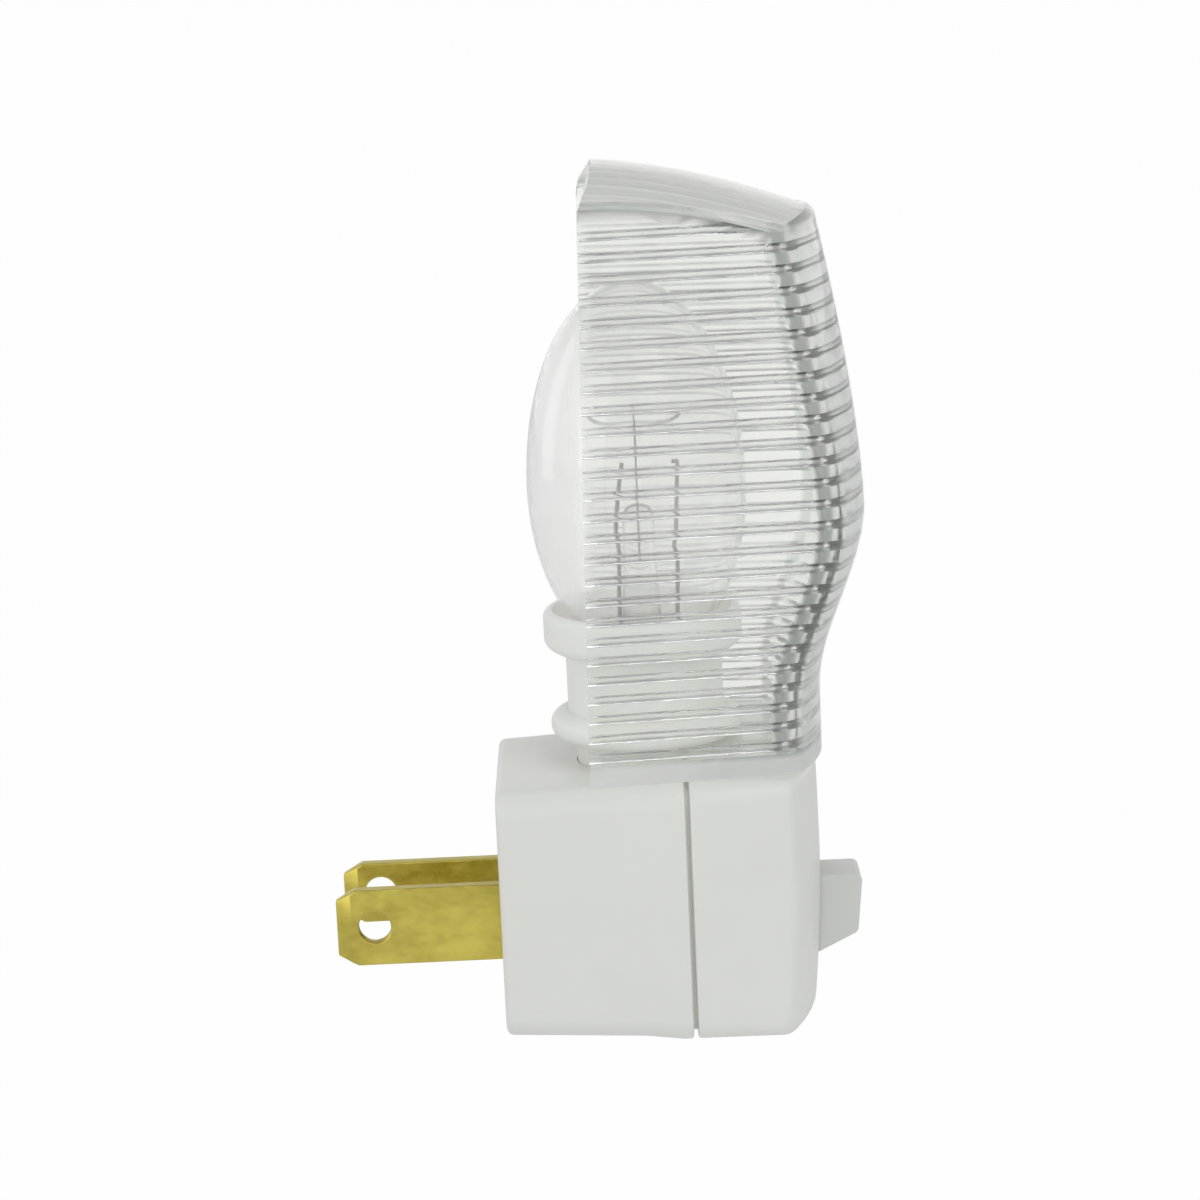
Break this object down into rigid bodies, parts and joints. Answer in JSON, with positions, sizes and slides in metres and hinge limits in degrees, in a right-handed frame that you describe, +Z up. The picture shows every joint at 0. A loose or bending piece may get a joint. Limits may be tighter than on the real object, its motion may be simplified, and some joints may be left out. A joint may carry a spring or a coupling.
{
  "type": "plug-in night light",
  "caption": "Manual plug-in night light: polarised two-blade plug, moulded base with a paddle switch, screw-in clear lamp and a clear ribbed slide-on shade.",
  "frame": {"origin": "on the flat rear face that rests on the wall outlet, midway between the two blades", "axes": "+Z up along the lamp, +Y out of the rear face into the wall along the blades, +X towards the narrow blade; the front with the switch faces -Y"},
  "size_m": [0.0296, 0.0555, 0.0878],
  "materials": {
    "housing_white": "gloss",
    "socket_white": "satin",
    "switch_white": "gloss",
    "clear_plastic": "gloss",
    "plug_brass": "satin",
    "contact_brass": "satin",
    "lamp_brass": "gloss",
    "rivet_steel": "satin",
    "spring_steel": "satin",
    "lamp_glass": "gloss",
    "lamp_insulator": "gloss",
    "solder": "satin",
    "lamp_wire": "satin",
    "tungsten": "matte",
    "fibre_board": "matte"
  },
  "bodies": {
    "base": {"rear_housing": "housing_white", "front_cover": "housing_white", "blade_retainer": "fibre_board", "neutral_blade": "plug_brass", "hot_blade": "plug_brass", "neutral_strap": "contact_brass", "hot_strap": "contact_brass", "lamp_strap": "contact_brass", "strap_rivets": "rivet_steel", "socket_body": "socket_white", "screw_shell": "contact_brass", "center_contact": "contact_brass", "center_rivet": "rivet_steel", "switch_pin": "rivet_steel", "detent_leaf": "spring_steel"},
    "rocker": {"switch_lever": "switch_white", "contact_bridge": "contact_brass"},
    "lamp_lift": {"bulb_tip": "solder"},
    "lamp": {"bulb_glass": "lamp_glass", "bulb_shell": "lamp_brass", "bulb_insulator": "lamp_insulator", "bulb_stem": "lamp_glass", "bulb_leads": "lamp_wire", "bulb_supports": "lamp_wire", "bulb_filament": "tungsten"},
    "shade": {"shade": "clear_plastic"}
  },
  "joints": [
    {"name": "switch_tilt", "type": "hinge", "parent": "base", "child": "rocker", "pos_m": [0, -0.028, -0.0018], "axis": [1, 0, 0], "range_deg": [0, 26.6]},
    {"name": "lamp_rise", "type": "slide", "parent": "base", "child": "lamp_lift", "axis": [0, 0, 1], "range_m": [0, 0.00508]},
    {"name": "lamp_turn", "type": "hinge", "parent": "lamp_lift", "child": "lamp", "pos_m": [0, -0.0156, 0.03], "axis": [0, 0, 1], "range_deg": [0, 720]},
    {"name": "shade_slide", "type": "slide", "parent": "base", "child": "shade", "axis": [0, -1, 0], "range_m": [0, 0.016]}
  ],
  "couplings": [
    {"joint": "lamp_turn", "follows": "lamp_rise", "rad_per_m": 2473.7}
  ]
}
